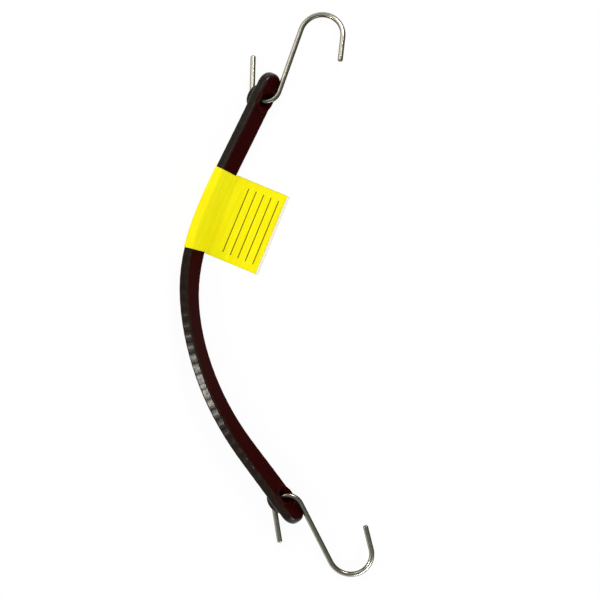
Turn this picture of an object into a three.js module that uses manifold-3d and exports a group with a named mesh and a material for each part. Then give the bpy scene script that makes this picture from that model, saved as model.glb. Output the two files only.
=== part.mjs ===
// A moulded rubber tie-down strap with a steel S-hook through the eye at each end, and a film
// label folded round the strap so that its two leaves stick together as a flag.
// Millimetres, +Z up. The strap lies on a flat surface: it leans over on its lower edge and bows
// sideways, so that its broad face looks up and inwards. Seen from above, X is right and Y is up.
import * as THREE from 'three';
import { mergeVertices } from 'three/addons/utils/BufferGeometryUtils.js';
import Module from 'manifold-3d';

const wasm = await Module();
wasm.setup();

// Strap, a rounded rectangle in section
const strapLength = 403;
const strapWidth = 21;
const strapThickness = 7.9;
const strapEdgeRadius = 1.2;

// Moulded eye at each end of the strap: a round tip, and a boss round the hole on both faces that
// stops a margin short of the web
const eyeLength = 36;
const eyeBoreDiameter = 10.2;
const eyeBossDiameter = 20;
const eyeBossMargin = 3;
const eyeBossFrontHeight = 1.4;
const eyeBossBackHeight = 4;
const eyeBossShoulderRadius = 1.1;
const eyeLipRadius = 4.2;

// S-hook, bent from one length of round wire in one plane
const wireDiameter = 4.2;
const outerLegLength = 20.6;
const outerBendRadius = 17.8;
const shankLength = 55;
const eyeBendRadius = 11.3;
const eyeLegLength = 27.5;

// Film label, an inset along the web from the first eye: the part folded round the strap, and the
// flag that stands out from it
const labelInset = 52;
const labelWidth = 69;
const filmThickness = 0.5;
const flagLength = 43.3;
const flagBackLeafOverhang = 2.2;
const flagRootHeight = 3.4;
const flagRampLength = 16;

// Clearances, how far the wire sits from the hole's middle towards the web, over what length of
// web the strap comes down from its raised eyes, and how far a cut runs past what it cuts
const jointGap = 0.3;
const hookSeatOffset = 1.1;
const eyeLiftRun = 45;
const cutOverrun = 5;

// Angles of the wire's bends, in degrees
const outerBendSweep = 167;
const eyeBendSweep = 162;

// Heading of the strap in plan and lean of its broad face from level, in degrees, at equal steps
// along the plain web from the first eye to the second
const webHeadings = [-116, -116.4, -115.3, -110.4, -99.8, -86.4, -76.6, -68.4, -60.4, -53.6, -53.4];
const webLeans = [54, 54, 54.5, 57, 60, 64.5, 65.5, 63.5, 60.8, 57, 55];

// Each hook: the way its plane rises and how steeply, the heading of its shank in plan, the side
// of the plane that its first bend turns to, and the share of the eye bend, counted from the
// shank, at which the wire sits in the hole
const hookPoses = {
  s_hook_a: { riseHeading: -56, rise: 16.75, shankHeading: 70.5, side: 1, seatShare: 0.57 },
  s_hook_b: { riseHeading: 63.6, rise: 17, shankHeading: -63, side: -1, seatShare: 0.59 },
};

// Counts
const webSteps = 72;
const headingStepsPerWebStep = 8;
const labelSteps = 12;
const edgeSteps = 2;
const wireSides = 12;
const hookSteps = 72;
const lipSteps = 6;
const roundSides = 36;
const flagRampSteps = 10;

const up = new THREE.Vector3(0, 0, 1);

// Finishes
const rubber = new THREE.MeshStandardMaterial({ color: 0x24100f, roughness: 0.55, metalness: 0 });
const steel = new THREE.MeshStandardMaterial({ color: 0xb8b5a8, roughness: 0.25, metalness: 1 });
const film = new THREE.MeshStandardMaterial({ color: 0xf4e60c, roughness: 0.45, metalness: 0 });

function radians(degrees) {
  return THREE.MathUtils.degToRad(degrees);
}

// A closed geometry as a solid that can be joined and cut
function toSolid(geometry) {
  const bare = geometry.clone();
  bare.deleteAttribute('normal');
  bare.deleteAttribute('uv');
  const merged = mergeVertices(bare);
  const vertProperties = new Float32Array(merged.attributes.position.array);
  const triVerts = new Uint32Array(merged.index.array);
  return new wasm.Manifold(new wasm.Mesh({ numProp: 3, vertProperties, triVerts }));
}

function fromSolid(solid) {
  const mesh = solid.getMesh();
  const geometry = new THREE.BufferGeometry();
  geometry.setAttribute('position', new THREE.BufferAttribute(mesh.vertProperties, 3));
  geometry.setIndex(new THREE.BufferAttribute(mesh.triVerts, 1));
  geometry.computeVertexNormals();
  return geometry;
}

function named(name, geometry, material) {
  const mesh = new THREE.Mesh(geometry, material);
  mesh.name = name;
  return mesh;
}

// A closed solid through rings of points that all turn the same way, with a flat cap at each end
function loft(rings) {
  const sides = rings[0].length;
  const last = (rings.length - 1) * sides;
  const positions = rings.flat().flatMap((p) => [p.x, p.y, p.z]);
  const faces = [];
  for (let i = 0; i < rings.length - 1; i += 1) {
    for (let j = 0; j < sides; j += 1) {
      const a = i * sides + j;
      const b = i * sides + ((j + 1) % sides);
      faces.push(a, b, b + sides);
      faces.push(a, b + sides, a + sides);
    }
  }
  for (let j = 1; j < sides - 1; j += 1) {
    faces.push(0, j + 1, j);
    faces.push(last, last + j, last + j + 1);
  }
  const geometry = new THREE.BufferGeometry();
  geometry.setAttribute('position', new THREE.Float32BufferAttribute(positions, 3));
  geometry.setIndex(faces);
  geometry.computeVertexNormals();
  return geometry;
}

// Strap: where its middle runs, and how far the hole and the label are from its first tip

const webLength = strapLength - 2 * eyeLength;
const eyeHoleInset = eyeLength - eyeBossMargin - eyeBossDiameter / 2;
const labelStart = eyeLength + labelInset;
const headingCurve = new THREE.SplineCurve(webHeadings.map((h, i) => new THREE.Vector2(i, h)));
const leanCurve = new THREE.SplineCurve(webLeans.map((l, i) => new THREE.Vector2(i, l)));

function webShare(distance) {
  return THREE.MathUtils.clamp((distance - eyeLength) / webLength, 0, 1);
}

function headingAt(distance) {
  return radians(headingCurve.getPoint(webShare(distance)).y);
}

function leanAt(distance) {
  return radians(leanCurve.getPoint(webShare(distance)).y);
}

function direction(heading) {
  return new THREE.Vector3(Math.cos(heading), Math.sin(heading), 0);
}

// The height of the middle of a round-edged block that leans on its lower edge
function restingHeight(halfWidth, halfThickness, edgeRadius, lean) {
  const across = (halfWidth - edgeRadius) * Math.sin(lean);
  return across + (halfThickness - edgeRadius) * Math.cos(lean) + edgeRadius;
}

function strapRest(lean) {
  return restingHeight(strapWidth / 2, strapThickness / 2, strapEdgeRadius, lean);
}

// The eyes rest on the rims of their bosses, which lifts the ends of the strap
const bossFront = strapThickness / 2 + eyeBossFrontHeight;
const bossBack = strapThickness / 2 + eyeBossBackHeight;

function bossLift(lean) {
  const rest = restingHeight(eyeBossDiameter / 2, bossBack, eyeBossShoulderRadius, lean);
  return Math.max(rest - strapRest(lean), 0);
}

// The film under the strap lifts it too, and the rubber comes down on both sides of it
const filmLift = filmThickness + jointGap;

function eased(height, away, run) {
  return height * (1 - THREE.MathUtils.smoothstep(away, 0, run));
}

function liftAt(distance) {
  const fromFirst = distance - eyeLength;
  const fromLast = strapLength - eyeLength - distance;
  const lift = fromFirst < fromLast
    ? eased(bossLift(leanAt(0)), fromFirst, eyeLiftRun)
    : eased(bossLift(leanAt(strapLength)), fromLast, eyeLiftRun);
  const fromLabel = Math.max(labelStart - distance, distance - labelStart - labelWidth);
  return Math.max(lift, eased(filmLift, fromLabel, eyeLiftRun));
}

// Plan positions, summed in short straight steps along the web
const planStep = webLength / webSteps / headingStepsPerWebStep;
const webPlan = [new THREE.Vector3()];
for (let i = 0; i < webSteps * headingStepsPerWebStep; i += 1) {
  const middle = eyeLength + (i + 1 / 2) * planStep;
  const next = webPlan[i].clone().addScaledVector(direction(headingAt(middle)), planStep);
  webPlan.push(next);
}

function planAt(distance) {
  const along = THREE.MathUtils.clamp(distance - eyeLength, 0, webLength);
  const place = along / planStep;
  const index = Math.min(Math.floor(place), webPlan.length - 2);
  const point = webPlan[index].clone().lerp(webPlan[index + 1], place - index);
  return point.addScaledVector(direction(headingAt(distance)), distance - eyeLength - along);
}

// The strap's middle at a distance from its first tip, with the directions along it, out of its
// broad face and towards its upper edge
function strapFrame(distance) {
  const along = direction(headingAt(distance));
  const side = direction(headingAt(distance) + Math.PI / 2);
  const lean = leanAt(distance);
  const face = side.clone().multiplyScalar(Math.sin(lean)).addScaledVector(up, Math.cos(lean));
  const edge = side.clone().multiplyScalar(-Math.cos(lean)).addScaledVector(up, Math.sin(lean));
  const origin = planAt(distance).addScaledVector(up, strapRest(lean) + liftAt(distance));
  return { origin, along, side, face, edge };
}

// The strap's section at a distance from its first tip, grown outwards on every side
function strapRing(distance, grow) {
  const frame = strapFrame(distance);
  const radius = strapEdgeRadius + grow;
  const points = [];
  for (let corner = 0; corner < 4; corner += 1) {
    const faceSide = corner === 0 || corner === 3 ? 1 : -1;
    const edgeSide = corner < 2 ? 1 : -1;
    for (let i = 0; i <= edgeSteps; i += 1) {
      const angle = (corner + i / edgeSteps) * Math.PI / 2;
      const acrossFace = faceSide * (strapThickness / 2 - strapEdgeRadius) + radius * Math.cos(angle);
      const acrossEdge = edgeSide * (strapWidth / 2 - strapEdgeRadius) + radius * Math.sin(angle);
      const point = frame.origin.clone();
      point.addScaledVector(frame.face, acrossFace);
      point.addScaledVector(frame.edge, acrossEdge);
      points.push(point);
    }
  }
  return points;
}

function strapStretch(from, to, steps, grow) {
  const rings = [];
  for (let i = 0; i <= steps; i += 1) {
    rings.push(strapRing(from + (to - from) * i / steps, grow));
  }
  return loft(rings);
}

// Strap web, between the two eyes

function makeWeb() {
  const geometry = strapStretch(eyeLength + jointGap, strapLength - eyeLength - jointGap, webSteps, 0);
  return named('strap_web', geometry, rubber);
}

// Moulded eye. Its own X runs from the hole towards the web and its Z out of the broad face.

function eyeBody() {
  const cut = eyeLength - eyeHoleInset;
  const half = strapWidth / 2;
  const outline = new THREE.Shape();
  outline.moveTo(cut + cutOverrun, -half);
  outline.lineTo(cut + cutOverrun, half);
  outline.lineTo(half - eyeHoleInset, half);
  outline.absarc(half - eyeHoleInset, 0, half, Math.PI / 2, Math.PI * 3 / 2, false);
  const body = new THREE.ExtrudeGeometry(outline, {
    depth: strapThickness - 2 * strapEdgeRadius,
    bevelThickness: strapEdgeRadius,
    bevelSize: strapEdgeRadius,
    bevelOffset: -strapEdgeRadius,
    bevelSegments: edgeSteps,
    curveSegments: roundSides / 2,
  });
  body.translate(0, 0, strapEdgeRadius - strapThickness / 2);
  const trimLength = 2 * cutOverrun;
  const trim = new THREE.BoxGeometry(trimLength, 2 * strapWidth, 2 * strapThickness);
  trim.translate(cut + trimLength / 2, 0, 0);
  return toSolid(body).subtract(toSolid(trim));
}

// A quarter round in the boss's section, from one of its ends to the other
function quarterRound(centreR, centreZ, radius, fromAngle, toAngle) {
  const points = [];
  for (let i = 0; i <= lipSteps; i += 1) {
    const angle = radians(fromAngle + (toAngle - fromAngle) * i / lipSteps);
    const r = centreR + radius * Math.cos(angle);
    points.push(new THREE.Vector2(r, centreZ + radius * Math.sin(angle)));
  }
  return points;
}

function turned(points) {
  const geometry = new THREE.LatheGeometry(points, roundSides);
  geometry.rotateX(Math.PI / 2);
  return toSolid(geometry);
}

function eyeBoss() {
  const shoulder = eyeBossDiameter / 2 - eyeBossShoulderRadius;
  return turned([
    new THREE.Vector2(0, -bossBack),
    ...quarterRound(shoulder, eyeBossShoulderRadius - bossBack, eyeBossShoulderRadius, -90, 0),
    ...quarterRound(shoulder, bossFront - eyeBossShoulderRadius, eyeBossShoulderRadius, 0, 90),
    new THREE.Vector2(0, bossFront),
  ]);
}

// The hole, widening at both mouths over a round lip
function eyeBore() {
  const lip = eyeBoreDiameter / 2 + eyeLipRadius;
  return turned([
    new THREE.Vector2(0, -bossBack - cutOverrun),
    new THREE.Vector2(lip, -bossBack - cutOverrun),
    ...quarterRound(lip, eyeLipRadius - bossBack, eyeLipRadius, 270, 180),
    ...quarterRound(lip, bossFront - eyeLipRadius, eyeLipRadius, 180, 90),
    new THREE.Vector2(lip, bossFront + cutOverrun),
    new THREE.Vector2(0, bossFront + cutOverrun),
  ]);
}

// The frame of each hole: its first axis towards the web, its last out of the broad face
function eyeFrame(holeDistance, towardsWeb) {
  const frame = strapFrame(holeDistance);
  const x = frame.along.clone().multiplyScalar(towardsWeb);
  const y = frame.face.clone().cross(x);
  return new THREE.Matrix4().makeBasis(x, y, frame.face).setPosition(frame.origin);
}

const eyeFrames = {
  eye_end_a: eyeFrame(eyeHoleInset, 1),
  eye_end_b: eyeFrame(strapLength - eyeHoleInset, -1),
};

function makeEye(name) {
  const geometry = fromSolid(eyeBody().add(eyeBoss()).subtract(eyeBore()));
  geometry.applyMatrix4(eyeFrames[name]);
  return named(name, geometry, rubber);
}

// S-hook: the wire's middle line, walked from the outer leg's end to the eye leg's end, with the
// shank along X and the point that sits in the hole at the origin

const outerBend = radians(outerBendSweep);
const eyeBend = radians(eyeBendSweep);
const wireRuns = [
  { length: outerLegLength, turn: 0 },
  { length: outerBendRadius * outerBend, turn: outerBend },
  { length: shankLength, turn: 0 },
  { length: eyeBendRadius * eyeBend, turn: -eyeBend },
  { length: eyeLegLength, turn: 0 },
];
const wireLength = wireRuns.reduce((sum, run) => sum + run.length, 0);

function wirePoint(distance) {
  const point = new THREE.Vector3();
  let heading = Math.PI - outerBend;
  let left = distance;
  for (const run of wireRuns) {
    const length = Math.min(left, run.length);
    const turn = run.turn * length / run.length;
    const chord = turn === 0 ? length : length * Math.sin(turn / 2) / (turn / 2);
    point.addScaledVector(direction(heading + turn / 2), chord);
    heading += turn;
    left -= length;
    if (left <= 0) break;
  }
  return point;
}

class WireCurve extends THREE.Curve {
  constructor(seatShare) {
    super();
    this.seat = wirePoint(wireLength - eyeLegLength - (1 - seatShare) * eyeBendRadius * eyeBend);
  }

  getPoint(t, target = new THREE.Vector3()) {
    return target.copy(wirePoint(t * wireLength)).sub(this.seat);
  }
}

function makeHook(name, eye) {
  const section = new THREE.Shape();
  for (let i = 0; i < wireSides; i += 1) {
    const angle = (i + 1 / 2) * 2 * Math.PI / wireSides;
    const x = wireDiameter / 2 * Math.cos(angle);
    const y = wireDiameter / 2 * Math.sin(angle);
    if (i === 0) section.moveTo(x, y);
    else section.lineTo(x, y);
  }
  const pose = hookPoses[name];
  const geometry = new THREE.ExtrudeGeometry(section, {
    steps: hookSteps,
    extrudePath: new WireCurve(pose.seatShare),
    bevelEnabled: false,
  });
  const rise = radians(pose.rise);
  const normal = direction(radians(pose.riseHeading)).multiplyScalar(-Math.sin(rise));
  normal.addScaledVector(up, Math.cos(rise));
  const shank = direction(radians(pose.shankHeading));
  shank.addScaledVector(up, -shank.dot(normal) / normal.z).normalize();
  normal.multiplyScalar(pose.side);
  const across = normal.clone().cross(shank);
  const seat = new THREE.Vector3(hookSeatOffset, 0, 0).applyMatrix4(eyeFrames[eye]);
  const place = new THREE.Matrix4().makeBasis(shank, across, normal).setPosition(seat);
  geometry.applyMatrix4(place);
  return named(name, geometry, steel);
}

// Label wrap, closed round the strap

function makeLabelWrap() {
  const from = labelStart;
  const to = labelStart + labelWidth;
  const outer = toSolid(strapStretch(from, to, labelSteps, jointGap + filmThickness));
  const extra = labelWidth / labelSteps;
  const inner = toSolid(strapStretch(from - extra, to + extra, labelSteps + 2, jointGap));
  return named('label_wrap', fromSolid(outer.subtract(inner)), film);
}

// Label flag: its two leaves run down from the crease beside the strap and lie flat. The crease
// stands off by one leaf's thickness, so that the flag can be turned up beside the strap.

function flagHeight(out) {
  return flagRootHeight * (1 - THREE.MathUtils.smootherstep(out, 0, flagRampLength));
}

// Where the broad face meets the lower edge, on the floor below it
function lowerCorner(distance) {
  const frame = strapFrame(distance);
  const corner = frame.origin.clone().addScaledVector(frame.face, strapThickness / 2);
  return corner.addScaledVector(frame.edge, -strapWidth / 2).setZ(0);
}

function makeLabelFlag() {
  const from = lowerCorner(labelStart);
  const to = lowerCorner(labelStart + labelWidth);
  const along = to.clone().sub(from).normalize();
  const outwards = up.clone().cross(along);
  const start = from.lerp(to, 1 / 2).addScaledVector(along, -labelWidth / 2);
  let crease = 0;
  for (let i = 0; i <= labelSteps; i += 1) {
    const wrapped = strapRing(labelStart + labelWidth * i / labelSteps, filmThickness + jointGap);
    const reaches = wrapped.map((point) => point.sub(start).dot(outwards));
    crease = Math.max(crease, ...reaches.map((reach) => reach + jointGap + filmThickness));
  }
  const profile = new THREE.Shape();
  profile.moveTo(0, flagHeight(0));
  for (let i = 1; i <= flagRampSteps; i += 1) {
    const out = flagRampLength * i / flagRampSteps;
    profile.lineTo(out, flagHeight(out));
  }
  profile.lineTo(flagLength + flagBackLeafOverhang, 0);
  profile.lineTo(flagLength + flagBackLeafOverhang, filmThickness);
  profile.lineTo(flagLength, filmThickness);
  profile.lineTo(flagLength, 2 * filmThickness);
  for (let i = flagRampSteps; i >= 0; i -= 1) {
    const out = flagRampLength * i / flagRampSteps;
    profile.lineTo(out, flagHeight(out) + 2 * filmThickness);
  }
  const geometry = new THREE.ExtrudeGeometry(profile, { depth: labelWidth, bevelEnabled: false });
  const place = new THREE.Matrix4().makeBasis(outwards, up, along);
  place.setPosition(start.addScaledVector(outwards, crease));
  geometry.applyMatrix4(place);
  return named('label_flag', geometry, film);
}

// Assembly, moved so that the middle of its footprint is at the origin

const part = new THREE.Group();
part.add(makeEye('eye_end_a'));
part.add(makeWeb());
part.add(makeEye('eye_end_b'));
part.add(makeLabelWrap());
part.add(makeLabelFlag());
part.add(makeHook('s_hook_a', 'eye_end_a'));
part.add(makeHook('s_hook_b', 'eye_end_b'));

const bounds = new THREE.Box3().setFromObject(part);
const footprint = bounds.getCenter(new THREE.Vector3()).setZ(bounds.min.z);
part.position.copy(footprint).negate();

export default part;
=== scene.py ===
"""A moulded rubber tie-down strap that lies bowed on a pale table, with an S-hook bent from round
wire through the eye at each end and a yellow film label folded round it as a flag.

The frame is in metres, Z up. Seen from straight above, +X is right and +Y is up. The pieces'
sizes are written in millimetres and turned into metres by mm; the table, the lamps and the
camera are set out in metres.
"""
from math import cos, pi, radians, sin, tau

import bmesh
import bpy
import numpy as np
from mathutils import Matrix, Vector


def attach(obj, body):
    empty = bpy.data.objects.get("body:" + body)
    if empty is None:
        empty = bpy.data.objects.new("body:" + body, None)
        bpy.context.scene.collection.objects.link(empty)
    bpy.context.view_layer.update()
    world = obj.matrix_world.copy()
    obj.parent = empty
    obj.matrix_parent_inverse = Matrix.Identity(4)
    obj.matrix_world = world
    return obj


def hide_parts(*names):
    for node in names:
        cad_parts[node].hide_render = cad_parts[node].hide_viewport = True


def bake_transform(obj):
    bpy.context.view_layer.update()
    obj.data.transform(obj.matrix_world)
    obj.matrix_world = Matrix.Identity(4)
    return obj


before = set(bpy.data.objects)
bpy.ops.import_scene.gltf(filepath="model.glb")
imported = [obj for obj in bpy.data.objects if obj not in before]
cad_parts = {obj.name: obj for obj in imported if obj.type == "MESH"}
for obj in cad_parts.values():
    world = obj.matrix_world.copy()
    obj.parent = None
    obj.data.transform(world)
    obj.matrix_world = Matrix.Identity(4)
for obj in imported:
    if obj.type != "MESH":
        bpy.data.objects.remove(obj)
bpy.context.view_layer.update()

mm = 0.001


# The rubber strap. One moulding of dark maroon rubber: a flat web with a round tip at each end,
# and round a hole near each tip a boss that stands proud of both faces. It lies on its lower
# edge, bowed sideways, so its broad face looks up and to the inside of the bow.

strap_length = 403.0
strap_width = 21.0
strap_thickness = 7.9
strap_edge_radius = 1.2
eye_length = 36.0
eye_hole_inset = 23.0
bore_radius = 5.1
bore_lip_radius = 4.2
boss_radius = 10.0
boss_front = strap_thickness / 2 + 1.4
boss_back = strap_thickness / 2 + 4.0
boss_shoulder_radius = 1.1
boss_fillet = 1.3
eye_lift_run = 45.0
label_start = 88.0
label_width = 69.0
film_lift = 0.8

# The web's headings and leans in degrees, at equal steps from the first eye to the second, and
# where it starts, seen from above.
strap_headings = (-116, -116.4, -115.3, -110.4, -99.8, -86.4, -76.6, -68.4, -60.4, -53.6, -53.4)
strap_leans = (54, 54, 54.5, 57, 60, 64.5, 65.5, 63.5, 60.8, 57, 55)
web_start_plan = (-18.36, 147.203)
track_points = 4000

# The tips are a little fuller than the web, and the edges have shallow ripples from the mould.
tip_round = 2.2
tip_swell = 0.5
tip_round_run = 22.0
tip_front = 1.0
tip_back = 0.8
tip_thick_run = 20.0
ripple_pitch = 8.75
ripple_depth = 0.15
fine_ripple_pitch = 3.37
fine_ripple_share = 0.12

# The skin's grid is fine over the eyes and coarse along the web.
fine_step = 0.45
coarse_step = 1.5
fine_run_past_eye = 3.0
end_margin = 1.0
side_margin = 1.1
face_margin = 0.9


def through(values, share):
    """A smooth curve through equally spaced values, at a share of its length."""
    place = np.clip(share, 0, 1) * (len(values) - 1)
    first = np.minimum(place.astype(int), len(values) - 2)
    t = place - first
    v = np.array([values[0], *values, values[-1]], float)
    before, start, end, after = (v[first + i] for i in range(4))
    rise, fall = (end - before) / 2, (after - start) / 2
    cubic = (2 * start - 2 * end + rise + fall) * t ** 3
    return cubic + (3 * end - 3 * start - 2 * rise - fall) * t ** 2 + rise * t + start


def eased(height, away, run):
    """A height that eases to nothing over a run."""
    t = np.clip(away / run, 0, 1)
    return height * (1 - t * t * (3 - 2 * t))


def resting_height(half_width, half_thickness, edge_radius, lean):
    """How high the middle of a leaning bar with round edges is when it lies on the table."""
    across = (half_width - edge_radius) * np.sin(lean)
    return across + (half_thickness - edge_radius) * np.cos(lean) + edge_radius


def strap_lay(distance):
    """Where the strap's middle lies at distances in mm from its first tip, and its directions
    along it, out of its broad face and towards its upper edge."""
    web = strap_length - 2 * eye_length
    track = np.linspace(eye_length, strap_length - eye_length, track_points)
    turn = np.radians(through(strap_headings, (track - eye_length) / web))
    middle = (turn[1:] + turn[:-1]) / 2
    step = track[1] - track[0]
    x = np.concatenate([[0], np.cumsum(np.cos(middle) * step)]) + web_start_plan[0]
    y = np.concatenate([[0], np.cumsum(np.sin(middle) * step)]) + web_start_plan[1]
    share = (distance - eye_length) / web
    heading = np.radians(through(strap_headings, share))
    lean = np.radians(through(strap_leans, share))
    beyond = distance - np.clip(distance, track[0], track[-1])
    rest = resting_height(strap_width / 2, strap_thickness / 2, strap_edge_radius, lean)
    lift = np.zeros_like(lean)
    for end_lean, away in (
        (radians(strap_leans[0]), distance - eye_length),
        (radians(strap_leans[-1]), strap_length - eye_length - distance),
    ):
        on_boss = resting_height(boss_radius, boss_back, boss_shoulder_radius, end_lean)
        on_web = resting_height(strap_width / 2, strap_thickness / 2, strap_edge_radius, end_lean)
        lift = np.maximum(lift, eased(max(on_boss - on_web, 0), away, eye_lift_run))
    from_label = np.maximum(label_start - distance, distance - label_start - label_width)
    lift = np.maximum(lift, eased(film_lift, from_label, eye_lift_run))
    place = np.stack([
        np.interp(distance, track, x) + beyond * np.cos(heading),
        np.interp(distance, track, y) + beyond * np.sin(heading),
        rest + lift,
    ], -1)
    flat = np.zeros_like(heading)
    along = np.stack([np.cos(heading), np.sin(heading), flat], -1)
    side = np.stack([-np.sin(heading), np.cos(heading), flat], -1)
    up = np.array([0.0, 0.0, 1.0])
    face = side * np.sin(lean)[..., None] + up * np.cos(lean)[..., None]
    edge = -side * np.cos(lean)[..., None] + up * np.sin(lean)[..., None]
    return place, along, face, edge


def rounded(across, out, radius):
    """Distance from a block's rounded edge, from its distances beyond two faces."""
    a, b = across + radius, out + radius
    return np.minimum(np.maximum(a, b), 0) + np.hypot(np.maximum(a, 0), np.maximum(b, 0)) - radius


def strap_form(distance, across, out):
    """Signed distance in mm from the strap's skin, along, across and out of its broad face."""
    half = strap_width / 2
    past = np.maximum(np.abs(distance - strap_length / 2) - strap_length / 2 + half, 0)
    from_end = np.minimum(distance, strap_length - distance)
    ripple = np.sin(tau * distance / ripple_pitch)
    ripple += fine_ripple_share * np.sin(tau * distance / fine_ripple_pitch + across)
    ripple *= ripple_depth * (1 - eased(1, from_end - eye_length / 2, eye_length / 2))
    beyond_edge = np.hypot(past, across) - half - eased(tip_swell, from_end, tip_round_run)
    beyond_face = np.maximum(
        out - eased(tip_front, from_end, tip_thick_run),
        -out - eased(tip_back, from_end, tip_thick_run),
    ) - strap_thickness / 2
    plate = rounded(
        beyond_edge + ripple / 2 + ripple_depth / 2,
        beyond_face,
        strap_edge_radius + eased(tip_round, from_end, tip_round_run),
    )
    from_hole = np.hypot(from_end - eye_hole_inset, across)
    height = out - (boss_front - boss_back) / 2
    boss = rounded(
        from_hole - boss_radius,
        np.abs(height) - (boss_front + boss_back) / 2,
        boss_shoulder_radius,
    )
    share = np.clip(0.5 + 0.5 * (boss - plate) / boss_fillet, 0, 1)
    joined = boss + (plate - boss) * share - boss_fillet * share * (1 - share)
    return rounded(joined, bore_radius - from_hole, bore_lip_radius)


def skin_over(form, xs, ys, zs):
    """The closed skin where form changes sign on a box grid: its points, its quads and the slope
    of form at each point. The points are drawn onto the form in a few short steps."""
    rounds, probe, longest_step, least_slope = 3, 0.02, 0.2, 0.5
    field = form(*np.meshgrid(xs, ys, zs, indexing="ij"))
    inside = field < 0
    cells = tuple(n - 1 for n in field.shape)
    total, count = np.zeros((*cells, 3)), np.zeros(cells)
    low, high = slice(None, -1), slice(1, None)
    crossings = []
    for axis in range(3):
        first = tuple(low if k == axis else slice(None) for k in range(3))
        second = tuple(high if k == axis else slice(None) for k in range(3))
        where = np.nonzero(inside[first] != inside[second])
        share = field[first][where] / (field[first][where] - field[second][where])
        point = np.stack([g[n] for g, n in zip((xs, ys, zs), where)], -1)
        point[:, axis] += share * np.diff((xs, ys, zs)[axis])[where[axis]]
        b, c = (axis + 1) % 3, (axis + 2) % 3
        corners = []
        for shift_b, shift_c in ((-1, -1), (0, -1), (0, 0), (-1, 0)):
            cell = [n.copy() for n in where]
            cell[b] += shift_b
            cell[c] += shift_c
            np.add.at(total, tuple(cell), point)
            np.add.at(count, tuple(cell), 1)
            corners.append(tuple(cell))
        crossings.append((corners, inside[first][where]))
    number = np.full(cells, -1)
    used = count > 0
    number[used] = np.arange(used.sum())
    points = total[used] / count[used][:, None]
    quads = []
    for corners, outwards in crossings:
        quad = np.stack([number[cell] for cell in corners], -1)
        quads.append(np.where(outwards[:, None], quad, quad[:, ::-1]))
    for _ in range(rounds):
        value = form(*points.T)
        slope = np.stack([
            form(*(points + d).T) - form(*(points - d).T) for d in np.eye(3) * probe
        ], -1) / (2 * probe)
        step = value / np.maximum((slope ** 2).sum(-1), least_slope ** 2)
        points -= slope * np.clip(step, -longest_step, longest_step)[:, None]
    return points, np.concatenate(quads), slope


def mesh_of(name, points, faces, **measures):
    """A smooth-shaded mesh object, with a float attribute on its points for each measure."""
    mesh = bpy.data.meshes.new(name)
    mesh.from_pydata(points.tolist(), [], faces.tolist())
    for label, values in measures.items():
        mesh.attributes.new(label, "FLOAT", "POINT").data.foreach_set(
            "value", np.asarray(values, np.float32)
        )
    mesh.polygons.foreach_set("use_smooth", [True] * len(mesh.polygons))
    mesh.update()
    piece = bpy.data.objects.new(name, mesh)
    bpy.context.scene.collection.objects.link(piece)
    return piece


eye_grid = np.arange(-end_margin, eye_length + fine_run_past_eye, fine_step)
web_grid = np.arange(
    eye_grid[-1] + fine_step, strap_length - eye_grid[-1] - fine_step / 2, coarse_step
)
strap_points, strap_faces, strap_slopes = skin_over(
    strap_form,
    np.concatenate([eye_grid, web_grid, (strap_length - eye_grid)[::-1]]),
    np.arange(-strap_width / 2 - side_margin, strap_width / 2 + side_margin, fine_step),
    np.arange(-boss_back - face_margin, boss_front + face_margin, fine_step),
)
distance, across, out = strap_points.T
lay, _, face, edge = strap_lay(distance)

# strap_facing is 1 on the broad faces and 0 on the edges. The boss, its fillet and the hole's
# lip count as broad face, because they are as maroon as it is.
boss_surround = 1.4
hole_surround = 1.6
facing = np.abs(strap_slopes[:, 2]) / np.linalg.norm(strap_slopes, axis=1)
from_tip = np.minimum(distance, strap_length - distance)
from_hole = np.hypot(from_tip - eye_hole_inset, across)
on_front = out > strap_thickness / 2 - strap_edge_radius
on_boss = (from_hole < boss_radius + boss_surround) & on_front
facing[on_boss | (from_hole < bore_radius + hole_surround)] = 1
strap = mesh_of(
    "rubber_strap",
    (lay + edge * across[:, None] + face * out[:, None]) * mm,
    strap_faces,
    strap_along=distance * mm,
    strap_across=across * mm,
    strap_out=out * mm,
    strap_facing=facing,
)


def plug(tree, socket, value):
    """Links a node's output to an input, or sets the input to a number, a colour or a name."""
    if isinstance(value, bpy.types.NodeSocket):
        tree.links.new(value, socket)
    elif isinstance(value, tuple):
        socket.default_value = (*value, 1)
    else:
        socket.default_value = value


def add_node(tree, kind, inputs=None, **settings):
    """A new node with its settings and with what is plugged into its inputs."""
    node = tree.nodes.new(kind)
    for name, value in settings.items():
        setattr(node, name, value)
    for name, value in (inputs or {}).items():
        plug(tree, node.inputs[name], value)
    return node


def measure(tree, name):
    """The output that reads one of a mesh's own float attributes."""
    return add_node(tree, "ShaderNodeAttribute", attribute_name=name).outputs["Fac"]


def worked(tree, operation, *values, clamp=False):
    """One step of arithmetic on numbers or other nodes' outputs."""
    node = add_node(tree, "ShaderNodeMath", operation=operation, use_clamp=clamp)
    for socket, value in zip(node.inputs, values):
        plug(tree, socket, value)
    return node.outputs[0]


def placed(tree, x, y, z):
    """A place from three numbers or outputs."""
    return add_node(tree, "ShaderNodeCombineXYZ", {"X": x, "Y": y, "Z": z}).outputs[0]


def noise(tree, place, scale, detail=2.0, roughness=0.5):
    """Soft random patches over a place, from 0 to 1."""
    inputs = {"Vector": place, "Scale": scale, "Detail": detail, "Roughness": roughness}
    return add_node(tree, "ShaderNodeTexNoise", inputs).outputs["Fac"]


def mapped(tree, value, low, high, to_low=0.0, to_high=1.0):
    """A value eased from one range to another, and held at its ends."""
    inputs = {
        "Value": value, "From Min": low, "From Max": high, "To Min": to_low, "To Max": to_high,
    }
    node = add_node(tree, "ShaderNodeMapRange", inputs, interpolation_type="SMOOTHSTEP")
    return node.outputs["Result"]


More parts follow.
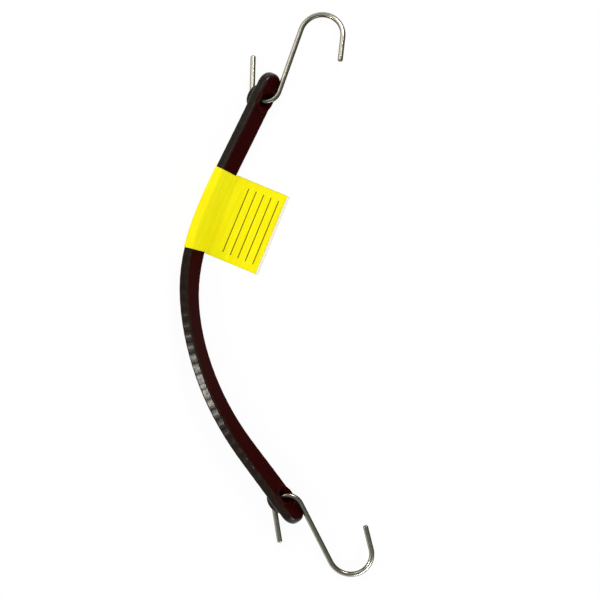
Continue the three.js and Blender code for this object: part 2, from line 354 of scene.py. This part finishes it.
def blended(tree, factor, first, second):
    """A colour between two, each a colour or another node's output."""
    factor_input, first_input, second_input, colour_output = 0, 6, 7, 2
    inputs = {factor_input: factor, first_input: first, second_input: second}
    return add_node(tree, "ShaderNodeMix", inputs, data_type="RGBA").outputs[colour_output]


def bumped(tree, height, distance, strength, under=None):
    """The surface's direction with a relief on it, laid over another relief where one is given."""
    inputs = {"Height": height, "Distance": distance, "Strength": strength}
    if under is not None:
        inputs["Normal"] = under
    return add_node(tree, "ShaderNodeBump", inputs).outputs["Normal"]


def new_finish(name):
    """A new material, its node tree and its shader."""
    material = bpy.data.materials.new(name)
    material.use_nodes = True
    return material, material.node_tree, material.node_tree.nodes["Principled BSDF"]


maroon_dark, maroon_light = (0.016, 0.0007, 0.0005), (0.029, 0.0019, 0.0014)
edge_dark, edge_light = (0.007, 0.0028, 0.0016), (0.018, 0.0098, 0.0062)
# The next colour is a painted highlight, laid along the rounded corners between the edges and the
# front face.
corner_highlight_grey = (0.03, 0.02, 0.015)
dust_grey = (0.16, 0.14, 0.12)
dust_strength = 0.35
bloom_per_metre = 70
mottle_per_metre = 420
dust_per_metre = 1500
corner_line = 9.6
corner_width = 1.1
corner_front = (2.2, 3.4)
rib_pitch = 2.92
rib_patches_per_metre = 60
rib_relief = 0.03
rib_strength = 0.3
grain_relief = 0.1
grain_strength = 0.17
face_gloss = 0.004
edge_gloss = 0.27
rubber_roughness = (0.19, 0.28)


def maroon_rubber():
    """Moulded rubber: maroon faces, greyer satin edges with fine cross ribs, a mottled painted
    highlight along the front corners, and a little dust."""
    material, tree, shader = new_finish("maroon_rubber")
    along = measure(tree, "strap_along")
    across = measure(tree, "strap_across")
    out = measure(tree, "strap_out")
    place = placed(tree, along, across, out)
    facing = mapped(tree, measure(tree, "strap_facing"), 0.55, 0.95)
    edge = worked(tree, "SUBTRACT", 1.0, facing)
    bloom = noise(tree, place, bloom_per_metre, 5, 0.6)
    mottle = noise(tree, place, mottle_per_metre, 4, 0.6)
    faces = blended(tree, bloom, maroon_dark, maroon_light)
    edges = blended(tree, bloom, edge_dark, edge_light)
    colour = blended(tree, facing, edges, faces)
    # Painted highlight: a lighter grey line along the rounded corner between each edge and the
    # front face, mottled in patches.
    off_corner = worked(tree, "SUBTRACT", worked(tree, "ABSOLUTE", across), corner_line * mm)
    off_corner = worked(tree, "DIVIDE", worked(tree, "ABSOLUTE", off_corner), corner_width * mm)
    corner = worked(tree, "SUBTRACT", 1.0, off_corner, clamp=True)
    front = mapped(tree, out, corner_front[0] * mm, corner_front[1] * mm)
    corner = worked(tree, "MULTIPLY", corner, front)
    painted_corner_highlight = worked(tree, "MULTIPLY", corner, mapped(tree, mottle, 0.35, 0.7, 0.25, 0.9))
    colour = blended(tree, painted_corner_highlight, colour, corner_highlight_grey)
    dust = mapped(tree, noise(tree, place, dust_per_metre, 1, 0.4), 0.74, 0.8)
    colour = blended(tree, worked(tree, "MULTIPLY", dust, dust_strength), colour, dust_grey)
    rib = worked(tree, "SINE", worked(tree, "MULTIPLY", along, tau / (rib_pitch * mm)))
    rib_patches = noise(tree, placed(tree, along, 0.0, 0.0), rib_patches_per_metre)
    rib = worked(tree, "MULTIPLY", rib, mapped(tree, rib_patches, 0.35, 0.65))
    ribs = bumped(tree, worked(tree, "MULTIPLY", rib, edge), rib_relief * mm, rib_strength)
    gloss = worked(tree, "ADD", worked(tree, "MULTIPLY", edge, edge_gloss), face_gloss)
    plug(tree, shader.inputs["Base Color"], colour)
    plug(tree, shader.inputs["Specular IOR Level"], gloss)
    plug(tree, shader.inputs["Roughness"], mapped(tree, mottle, 0.25, 0.75, *rubber_roughness))
    grain = bumped(tree, mottle, grain_relief * mm, grain_strength, ribs)
    plug(tree, shader.inputs["Normal"], grain)
    return material


strap.data.materials.append(maroon_rubber())

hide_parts("eye_end_a", "strap_web", "eye_end_b")
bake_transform(strap)


# The two S-hooks, each bent cold from one length of bright plated round wire, cut off square with
# the cuts' rims rounded over. The smaller bend hangs in the eye; the larger, open one takes the
# rail or ring.

wire_diameter = 4.2
outer_leg = 20.6
outer_bend_radius = 17.8
outer_bend = radians(167)
shank = 55.0
eye_bend_radius = 11.3
eye_bend = radians(162)
eye_leg = 27.5
wire_sides = 40
point_spacing = 0.3
line_points = 3500
end_round = 1.5
end_narrowing = 0.5
end_round_power = 3
wire_runs = (
    (outer_leg, 0.0),
    (outer_bend_radius * outer_bend, outer_bend),
    (shank, 0.0),
    (eye_bend_radius * eye_bend, -eye_bend),
    (eye_leg, 0.0),
)
wire_length = sum(run for run, _ in wire_runs)

# How each hook lies: its node and body; its hole's place along the strap and the way from there
# to the web; in degrees, the way and the slope in which its plane rises, and the shank's way; the
# side that its bends turn to; and the share of the eye bend up to the spot that sits in the hole.
seat_offset = 1.1
hook_lays = (
    ("s_hook_a", "hook_a", eye_hole_inset, 1, -56, 16.75, 70.5, 1, 0.57),
    ("s_hook_b", "hook_b", strap_length - eye_hole_inset, -1, 63.6, 17, -63, -1, 0.59),
)


def wire_point(distance):
    """The wire's middle line in its own plane, in mm, walked from the outer leg's end."""
    x = y = 0.0
    heading = pi - outer_bend
    for run, bend in wire_runs:
        length = min(distance, run)
        turn = bend * length / run
        chord = length if turn == 0 else length * sin(turn / 2) / (turn / 2)
        x += cos(heading + turn / 2) * chord
        y += sin(heading + turn / 2) * chord
        heading += turn
        distance -= length
        if distance <= 0:
            break
    return Vector((x, y, 0))


def noted(tree, geometry, name, value):
    """Geometry with a value noted on its points, as a float attribute."""
    inputs = {"Geometry": geometry, "Name": name, "Value": value}
    node = add_node(
        tree, "GeometryNodeStoreNamedAttribute", inputs, data_type="FLOAT", domain="POINT"
    )
    return node.outputs["Geometry"]


def wire_tree():
    """Geometry nodes that give a line a round section, narrower at both cut ends."""
    tree = bpy.data.node_groups.new("round_wire", "GeometryNodeTree")
    sockets = tree.interface
    sockets.new_socket("Geometry", in_out="INPUT", socket_type="NodeSocketGeometry")
    sockets.new_socket("Geometry", in_out="OUTPUT", socket_type="NodeSocketGeometry")
    for name, kind in (
        ("Wire radius", "NodeSocketFloat"),
        ("Point spacing", "NodeSocketFloat"),
        ("End round", "NodeSocketFloat"),
        ("Sides", "NodeSocketInt"),
        ("Finish", "NodeSocketMaterial"),
    ):
        sockets.new_socket(name, in_out="INPUT", socket_type=kind)
    given = add_node(tree, "NodeGroupInput").outputs
    inputs = {"Curve": given["Geometry"], "Length": given["Point spacing"]}
    line = add_node(tree, "GeometryNodeResampleCurve", inputs, mode="LENGTH").outputs["Curve"]
    inputs = {"Radius": given["Wire radius"], "Resolution": given["Sides"]}
    circle = add_node(tree, "GeometryNodeCurvePrimitiveCircle", inputs, mode="RADIUS")
    along = add_node(tree, "GeometryNodeSplineParameter").outputs["Length"]
    around = add_node(tree, "GeometryNodeSplineParameter").outputs["Factor"]
    length = add_node(tree, "GeometryNodeSplineLength").outputs["Length"]
    from_end = worked(tree, "MINIMUM", along, worked(tree, "SUBTRACT", length, along))
    inwards = worked(tree, "DIVIDE", from_end, given["End round"], clamp=True)
    outwards = worked(tree, "SUBTRACT", 1, inwards)
    narrowing = worked(tree, "POWER", outwards, end_round_power)
    inputs = {
        "Curve": noted(tree, line, "wire_along", along),
        "Profile Curve": noted(tree, circle.outputs["Curve"], "wire_around", around),
        "Scale": worked(tree, "MULTIPLY_ADD", narrowing, -end_narrowing, 1),
        "Fill Caps": True,
    }
    shape = add_node(tree, "GeometryNodeCurveToMesh", inputs).outputs["Mesh"]
    shape = add_node(tree, "GeometryNodeSetShadeSmooth", {"Geometry": shape}).outputs["Geometry"]
    shape = add_node(tree, "GeometryNodeRealizeInstances", {"Geometry": shape}).outputs["Geometry"]
    inputs = {"Geometry": shape, "Material": given["Finish"]}
    shape = add_node(tree, "GeometryNodeSetMaterial", inputs).outputs["Geometry"]
    add_node(tree, "NodeGroupOutput", {"Geometry": shape})
    return tree


plating_dull, plating_bright = (0.56, 0.53, 0.42), (0.65, 0.62, 0.52)
# The next colour is not the plating's own: it is a painted dark reflection for the wire's sides.
painted_flank_reflection_dark = (0.06, 0.05, 0.04)
plating_rim_tint = (0.3, 0.28, 0.25)
plating_roughness = (0.21, 0.27)
draw_line_stretch = 8.0
cloud_stretch = 160.0
draw_line_relief = 0.01
draw_line_strength = 0.02


def bright_wire():
    """Plated drawn wire: faint draw lines, and plating that is bright on the crests the hook lies
    on, with its sides darkened by a painted dark reflection."""
    material, tree, shader = new_finish("bright_plated_wire")
    along = measure(tree, "wire_along")
    turn = worked(tree, "MULTIPLY", measure(tree, "wire_around"), tau)
    ring = (worked(tree, "COSINE", turn), worked(tree, "SINE", turn))
    line_place = placed(tree, worked(tree, "MULTIPLY", along, draw_line_stretch), *ring)
    cloud_place = placed(tree, worked(tree, "MULTIPLY", along, cloud_stretch), *ring)
    drawn = noise(tree, line_place, 5, 2, 0.5)
    cloud = noise(tree, cloud_place, 1.6, 3, 0.55)
    # Painted dark reflection: away from the crests, the base colour fades to the dark colour on
    # the wire's sides.
    crest = mapped(tree, measure(tree, "wire_crest"), 0.5, 0.9)
    colour = blended(tree, mapped(tree, cloud, 0.3, 0.7), plating_dull, plating_bright)
    plug(tree, shader.inputs["Base Color"], blended(tree, crest, painted_flank_reflection_dark, colour))
    plug(tree, shader.inputs["Metallic"], 1)
    plug(tree, shader.inputs["Specular Tint"], plating_rim_tint)
    plug(tree, shader.inputs["Roughness"], mapped(tree, drawn, 0.25, 0.75, *plating_roughness))
    draw_lines = bumped(tree, drawn, draw_line_relief * mm, draw_line_strength)
    plug(tree, shader.inputs["Normal"], draw_lines)
    return material


def way_of(degrees, slope=0.0):
    """The direction at degrees from +X towards +Y, rising at a slope given as an angle."""
    level = cos(slope)
    return Vector((level * cos(radians(degrees)), level * sin(radians(degrees)), sin(slope)))


def swept_wire(name, points, finish, tree):
    """The mesh of a wire with its middle line through the points."""
    line = bpy.data.curves.new(name + "_line", "CURVE")
    line.dimensions = "3D"
    spline = line.splines.new("POLY")
    spline.points.add(len(points) - 1)
    for spot, point in zip(spline.points, points):
        spot.co = (*(point * mm), 1)
    wire = bpy.data.objects.new(name + "_line", line)
    bpy.context.scene.collection.objects.link(wire)
    modifier = wire.modifiers.new("round_wire", "NODES")
    modifier.node_group = tree
    inputs = {s.name: s.identifier for s in tree.interface.items_tree if s.in_out == "INPUT"}
    modifier[inputs["Wire radius"]] = wire_diameter / 2 * mm
    modifier[inputs["Point spacing"]] = point_spacing * mm
    modifier[inputs["End round"]] = end_round * mm
    modifier[inputs["Sides"]] = wire_sides
    modifier[inputs["Finish"]] = finish
    shaped = wire.evaluated_get(bpy.context.evaluated_depsgraph_get())
    mesh = bpy.data.meshes.new_from_object(shaped)
    bpy.data.objects.remove(wire)
    for polygon in mesh.polygons:
        cut_end = polygon.loop_total > 4
        if cut_end:
            polygon.use_smooth = False
    return mesh


steel = bright_wire()
round_wire = wire_tree()
for node_name, body, hole, to_web, rise_way, rise, shank_way, bend_side, seat_share in hook_lays:
    at, along, _, _ = (a[0] for a in strap_lay(np.array([hole])))
    seat_at = Vector(at) + Vector(along) * to_web * seat_offset
    normal = way_of(rise_way + 180, pi / 2 - radians(rise))
    run_way = way_of(shank_way)
    run_way.z = -run_way.dot(normal) / normal.z
    run_way.normalize()
    normal *= bend_side
    basis = Matrix((run_way, normal.cross(run_way), normal)).transposed()
    seat = wire_point(wire_length - eye_leg - (1 - seat_share) * eye_bend_radius * eye_bend)
    places = (wire_point(wire_length * i / line_points) for i in range(line_points + 1))
    points = [seat_at + basis @ (place - seat) for place in places]
    mesh = swept_wire(node_name, points, steel, round_wire)
    crests = [abs(point.normal.dot(normal)) for point in mesh.vertices]
    mesh.attributes.new("wire_crest", "FLOAT", "POINT").data.foreach_set("value", crests)
    hook = bpy.data.objects.new("wire_" + node_name, mesh)
    bpy.context.scene.collection.objects.link(hook)
    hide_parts(node_name)
    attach(hook, body)


# The film label. One strip of yellow printed film, white inside, laid round the web and stuck to
# itself in front of it, so that its two leaves stand out as a flag. The leaves run down from the
# crease to the table; the back leaf ends a little past the front one.

film_thickness = 0.22
film_gap = 0.3
leaf_gap = 0.04
flag_length = 43.3
flag_overhang = 2.2
crease_from, crease_to = np.array([-31.56, 96.98]), np.array([-57.89, 33.2])
crease_height = 3.9
crease_split = film_thickness * 0.6
flag_ramp = 16.0
wrap_start_inset = 0.6
wrap_end_share = 0.7
film_rows = 70
front_leaf_points = 60
back_leaf_points = 63
broad_points = 24
narrow_points = 8
corner_points = 6

crease_way = (crease_to - crease_from) / np.linalg.norm(crease_to - crease_from)
flag_out = np.array([-crease_way[1], crease_way[0], 0.0])


def smoother(u):
    """An ease from 0 to 1 without a kink at either end."""
    u = min(max(u, 0.0), 1.0)
    return u ** 3 * (u * (u * 6 - 15) + 10)


def film_profile(t):
    """The film's middle line at a share of its width: in along the front leaf, round the strap
    and out again along the back leaf."""
    at, _, face, edge = (a[0] for a in strap_lay(np.array([label_start + label_width * t])))
    crease = np.array([*(crease_from + (crease_to - crease_from) * t), 0.0])
    v_half = strap_width / 2 - strap_edge_radius
    w_half = strap_thickness / 2 - strap_edge_radius
    radius = strap_edge_radius + film_gap + film_thickness / 2

    def leaf(out, level):
        height = crease_height * (1 - smoother(out / flag_ramp)) + level
        return crease + flag_out * out + np.array([0, 0, height])

    def on_strap(v, w):
        return at + edge * v + face * w

    points = []
    for i in range(front_leaf_points):
        out = flag_length * (1 - i / front_leaf_points)
        points.append(leaf(out, film_thickness * 1.5 + leaf_gap))
    points.append(crease + np.array([0, 0, crease_height + crease_split]))
    for v in np.linspace(-v_half + wrap_start_inset, v_half, broad_points):
        points.append(on_strap(v, w_half + radius))
    upper_edge = np.linspace(w_half, -w_half, narrow_points)[1:]
    back = np.linspace(v_half, -v_half, broad_points)[1:]
    lower_edge = np.linspace(-w_half, w_half * wrap_end_share, narrow_points)[1:]
    for quarter, (v_corner, w_corner, next_run) in enumerate((
        (v_half, w_half, [(v_half + radius, w) for w in upper_edge]),
        (v_half, -w_half, [(v, -w_half - radius) for v in back]),
        (-v_half, -w_half, [(-v_half - radius, w) for w in lower_edge]),
    )):
        for i in range(1, corner_points + 1):
            turn = (quarter + i / corner_points) * pi / 2
            points.append(on_strap(v_corner + radius * sin(turn), w_corner + radius * cos(turn)))
        points += [on_strap(v, w) for v, w in next_run]
    points.append(crease + np.array([0, 0, crease_height - crease_split]))
    for i in range(1, back_leaf_points + 1):
        out = (flag_length + flag_overhang) * i / back_leaf_points
        points.append(leaf(out, film_thickness / 2))
    return np.array(points)


middle = np.stack([film_profile(i / film_rows) for i in range(film_rows + 1)])
normals = np.cross(np.gradient(middle, axis=1), np.gradient(middle, axis=0))
normals /= np.linalg.norm(normals, axis=-1, keepdims=True)
outer = middle + normals * film_thickness / 2
inner = middle - normals * film_thickness / 2
row_count, column_count = middle.shape[:2]
grid = np.arange(row_count * column_count).reshape(row_count, column_count)
sheet = np.stack([grid[:-1, :-1], grid[:-1, 1:], grid[1:, 1:], grid[1:, :-1]], -1).reshape(-1, 4)
under = grid.size
rim = np.concatenate([grid[0, :], grid[1:, -1], grid[-1, -2::-1], grid[-2:0:-1, 0]])
follow = np.roll(rim, -1)
film_faces = np.concatenate([
    sheet[:, ::-1],
    sheet + under,
    np.stack([rim, follow, follow + under, rim + under], -1),
])
film_along = np.arange(row_count)[:, None] * label_width / film_rows
film_along = np.repeat(film_along, column_count, 1)
runs = np.linalg.norm(np.diff(middle, axis=1), axis=-1)
film_across = np.concatenate([np.zeros((row_count, 1)), np.cumsum(runs, 1)], 1)
label = mesh_of(
    "film_label",
    np.concatenate([outer.reshape(-1, 3), inner.reshape(-1, 3)]) * mm,
    film_faces,
    film_along=np.tile(film_along.ravel(), 2) * mm,
    film_across=np.tile(film_across.ravel(), 2) * mm,
    film_printed=np.repeat([1.0, 0.0], under),
)
film_skin = bmesh.new()
film_skin.from_mesh(label.data)
bmesh.ops.recalc_face_normals(film_skin, faces=film_skin.faces)
film_skin.to_mesh(label.data)
film_skin.free()


def between(tree, value, low, high, soft):
    """1 where a value lies between two sizes in mm, with soft sides."""
    rise = mapped(tree, value, (low - soft) * mm, (low + soft) * mm)
    fall = mapped(tree, value, (high - soft) * mm, (high + soft) * mm, 1.0, 0.0)
    return worked(tree, "MULTIPLY", rise, fall)


yellow_cool, yellow_warm = (0.87, 0.76, 0.002), (0.92, 0.85, 0.003)
yellow_patch = (0.95, 0.72, 0.001)
rule_ink, tick_ink = (0.03, 0.028, 0.01), (0.35, 0.25, 0.02)
film_white, film_specks = (0.85, 0.79, 0.66), (0.5, 0.4, 0.36)
first_rule = 5.0
rule_spacing = 6.6
rule_half_width = 0.37
rule_softness = 0.09
ruled_across = (3.5, 37.5, 0.2)
ruled_along = (6.5, 62.5, 0.15)
tick_spacing = 1.6
tick_sides = (0.2, 0.6)
tick_ends = (0.3, 0.9)
tick_strength = 0.55
streak_stretch = 0.08
streaks_per_metre = 330
patches_per_metre = 45
specks_per_metre = 1100
streak_relief = 0.2
streak_strength = 0.15
film_gloss = 0.09
film_roughness = (0.34, 0.46)


def yellow_film():
    """Yellow print on white film, with blank ruled lines on the flag's front leaf and short ticks
    along one edge."""
    material, tree, shader = new_finish("yellow_film")
    along = measure(tree, "film_along")
    across = measure(tree, "film_across")
    place = placed(tree, along, across, 0.0)
    printed = mapped(tree, measure(tree, "film_printed"), 0.4, 0.6)
    drawn_out = placed(tree, worked(tree, "MULTIPLY", along, streak_stretch), across, 0.0)
    streaks = noise(tree, drawn_out, streaks_per_metre, 3, 0.55)
    patches = noise(tree, place, patches_per_metre, 3, 0.5)
    yellow = blended(tree, mapped(tree, streaks, 0.3, 0.7), yellow_cool, yellow_warm)
    yellow = blended(tree, mapped(tree, patches, 0.3, 0.75, 0.0, 0.25), yellow, yellow_patch)
    from_rule = worked(tree, "ADD", across, (rule_spacing - first_rule) * mm)
    from_rule = worked(tree, "PINGPONG", from_rule, rule_spacing / 2 * mm)
    rule_low, rule_high = rule_half_width - rule_softness, rule_half_width + rule_softness
    ink = mapped(tree, from_rule, rule_low * mm, rule_high * mm, 1.0, 0.0)
    ink = worked(tree, "MULTIPLY", ink, between(tree, across, *ruled_across))
    ink = worked(tree, "MULTIPLY", ink, between(tree, along, *ruled_along))
    yellow = blended(tree, ink, yellow, rule_ink)
    tick = worked(tree, "PINGPONG", across, tick_spacing / 2 * mm)
    tick = mapped(tree, tick, tick_sides[0] * mm, tick_sides[1] * mm)
    at_edge = mapped(tree, along, tick_ends[0] * mm, tick_ends[1] * mm, tick_strength, 0.0)
    yellow = blended(tree, worked(tree, "MULTIPLY", tick, at_edge), yellow, tick_ink)
    specks = noise(tree, place, specks_per_metre, 1, 0.4)
    specks = mapped(tree, specks, 0.62, 0.7, 0.0, 0.5)
    white = blended(tree, specks, film_white, film_specks)
    plug(tree, shader.inputs["Base Color"], blended(tree, printed, white, yellow))
    plug(tree, shader.inputs["Specular IOR Level"], film_gloss)
    plug(tree, shader.inputs["Roughness"], mapped(tree, streaks, 0.3, 0.7, *film_roughness))
    relief = bumped(tree, streaks, streak_relief * mm, streak_strength)
    plug(tree, shader.inputs["Normal"], relief)
    return material


label.data.materials.append(yellow_film())

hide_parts("label_wrap", "label_flag")
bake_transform(label)


# The table, the lamps and the camera: a pale table in a room with a dim ceiling; a broad lamp on
# the upper left, a small one on the left, a low, wide and bluish one in front and one on the
# upper right; and a camera that looks straight down, as the photograph's does.

table_half_side = 4.0
table_drop = 0.0002
table_white = (0.94, 0.94, 0.94)
seen_white_share = 0.94
pure_white = (1, 1, 1)


def looked_at(tree):
    """1 for rays from the camera and for those that metal and clear pieces send on."""
    rays = add_node(tree, "ShaderNodeLightPath").outputs
    seen = worked(tree, "MAXIMUM", rays["Is Camera Ray"], rays["Is Glossy Ray"])
    return worked(tree, "MAXIMUM", seen, rays["Is Transmission Ray"])


def mixed(tree, factor, first, second):
    """A share of one shader laid over another."""
    return add_node(tree, "ShaderNodeMixShader", {0: factor, 1: first, 2: second}).outputs[0]


table, tree, plain = new_finish("pale_table")
plug(tree, plain.inputs["Base Color"], table_white)
plug(tree, plain.inputs["Specular IOR Level"], 0)
white = add_node(tree, "ShaderNodeEmission", {"Color": pure_white}).outputs[0]
white_share = worked(tree, "MULTIPLY", looked_at(tree), seen_white_share)
surface = mixed(tree, white_share, plain.outputs[0], white)
plug(tree, tree.nodes["Material Output"].inputs["Surface"], surface)
floor_mesh = bpy.data.meshes.new("pale_table")
floor_mesh.from_pydata([
    (x * table_half_side, y * table_half_side, -table_drop)
    for x, y in ((-1, -1), (1, -1), (1, 1), (-1, 1))
], [], [(0, 1, 2, 3)])
floor_mesh.materials.append(table)
floor = bpy.data.objects.new("pale_table", floor_mesh)
bpy.context.scene.collection.objects.link(floor)

room_grey = (0.465, 0.465, 0.465)
room_rim, room_ceiling = (0.8, 0.8, 0.8), (0.14, 0.145, 0.135)
ceiling_starts = 0.25

world = bpy.data.worlds.new("soft_room")
bpy.context.scene.world = world
world.use_nodes = True
tree = world.node_tree
rays = add_node(tree, "ShaderNodeLightPath").outputs
way = add_node(tree, "ShaderNodeTexCoord").outputs["Generated"]
way = add_node(tree, "ShaderNodeSeparateXYZ", {0: way}).outputs
height = mapped(tree, way["Z"], 0.0, ceiling_starts)
reflected = blended(tree, height, room_rim, room_ceiling)
room = tree.nodes["Background"]
plug(tree, room.inputs["Color"], blended(tree, rays["Is Glossy Ray"], room_grey, reflected))
backdrop = add_node(tree, "ShaderNodeBackground", {"Color": pure_white}).outputs[0]
surface = mixed(tree, rays["Is Camera Ray"], room.outputs[0], backdrop)
plug(tree, tree.nodes["World Output"].inputs["Surface"], surface)

# Each lamp's way and elevation in degrees, its distance, width, height, power and colour.
for name, azimuth, elevation, away, width, height, power, tint in (
    ("upper_left_lamp", 139, 38, 1.3, 0.8, 0.8, 3.2, (1, 0.98, 0.9)),
    ("left_lamp", 205, 34, 1.2, 0.15, 0.15, 3.1, (1, 1, 0.88)),
    ("lower_lamp", 288, 20, 1.3, 0.7, 0.2, 8.0, (0.74, 0.88, 1)),
    ("high_lamp", 74, 39, 1.4, 0.5, 0.5, 9.4, (1, 1, 1)),
):
    lamp = bpy.data.lights.new(name, "AREA")
    lamp.shape = "RECTANGLE"
    lamp.size = width
    lamp.size_y = height
    lamp.energy = power
    lamp.color = tint
    holder = bpy.data.objects.new(name, lamp)
    holder.location = way_of(azimuth, radians(elevation)) * away
    holder.rotation_euler = (-holder.location).to_track_quat("-Z", "Y").to_euler()
    bpy.context.scene.collection.objects.link(holder)

camera_height = 5.0
camera_over = (0.0187, -0.0045)
photo_width = 0.489
photo_level = 0.008
lens = bpy.data.cameras.new("camera")
lens.sensor_width = 36
lens.lens = lens.sensor_width * (camera_height - photo_level) / photo_width
camera = bpy.data.objects.new("camera", lens)
camera.location = (*camera_over, camera_height)
bpy.context.scene.collection.objects.link(camera)
bpy.context.scene.camera = camera
bpy.context.scene.view_settings.view_transform = "Standard"
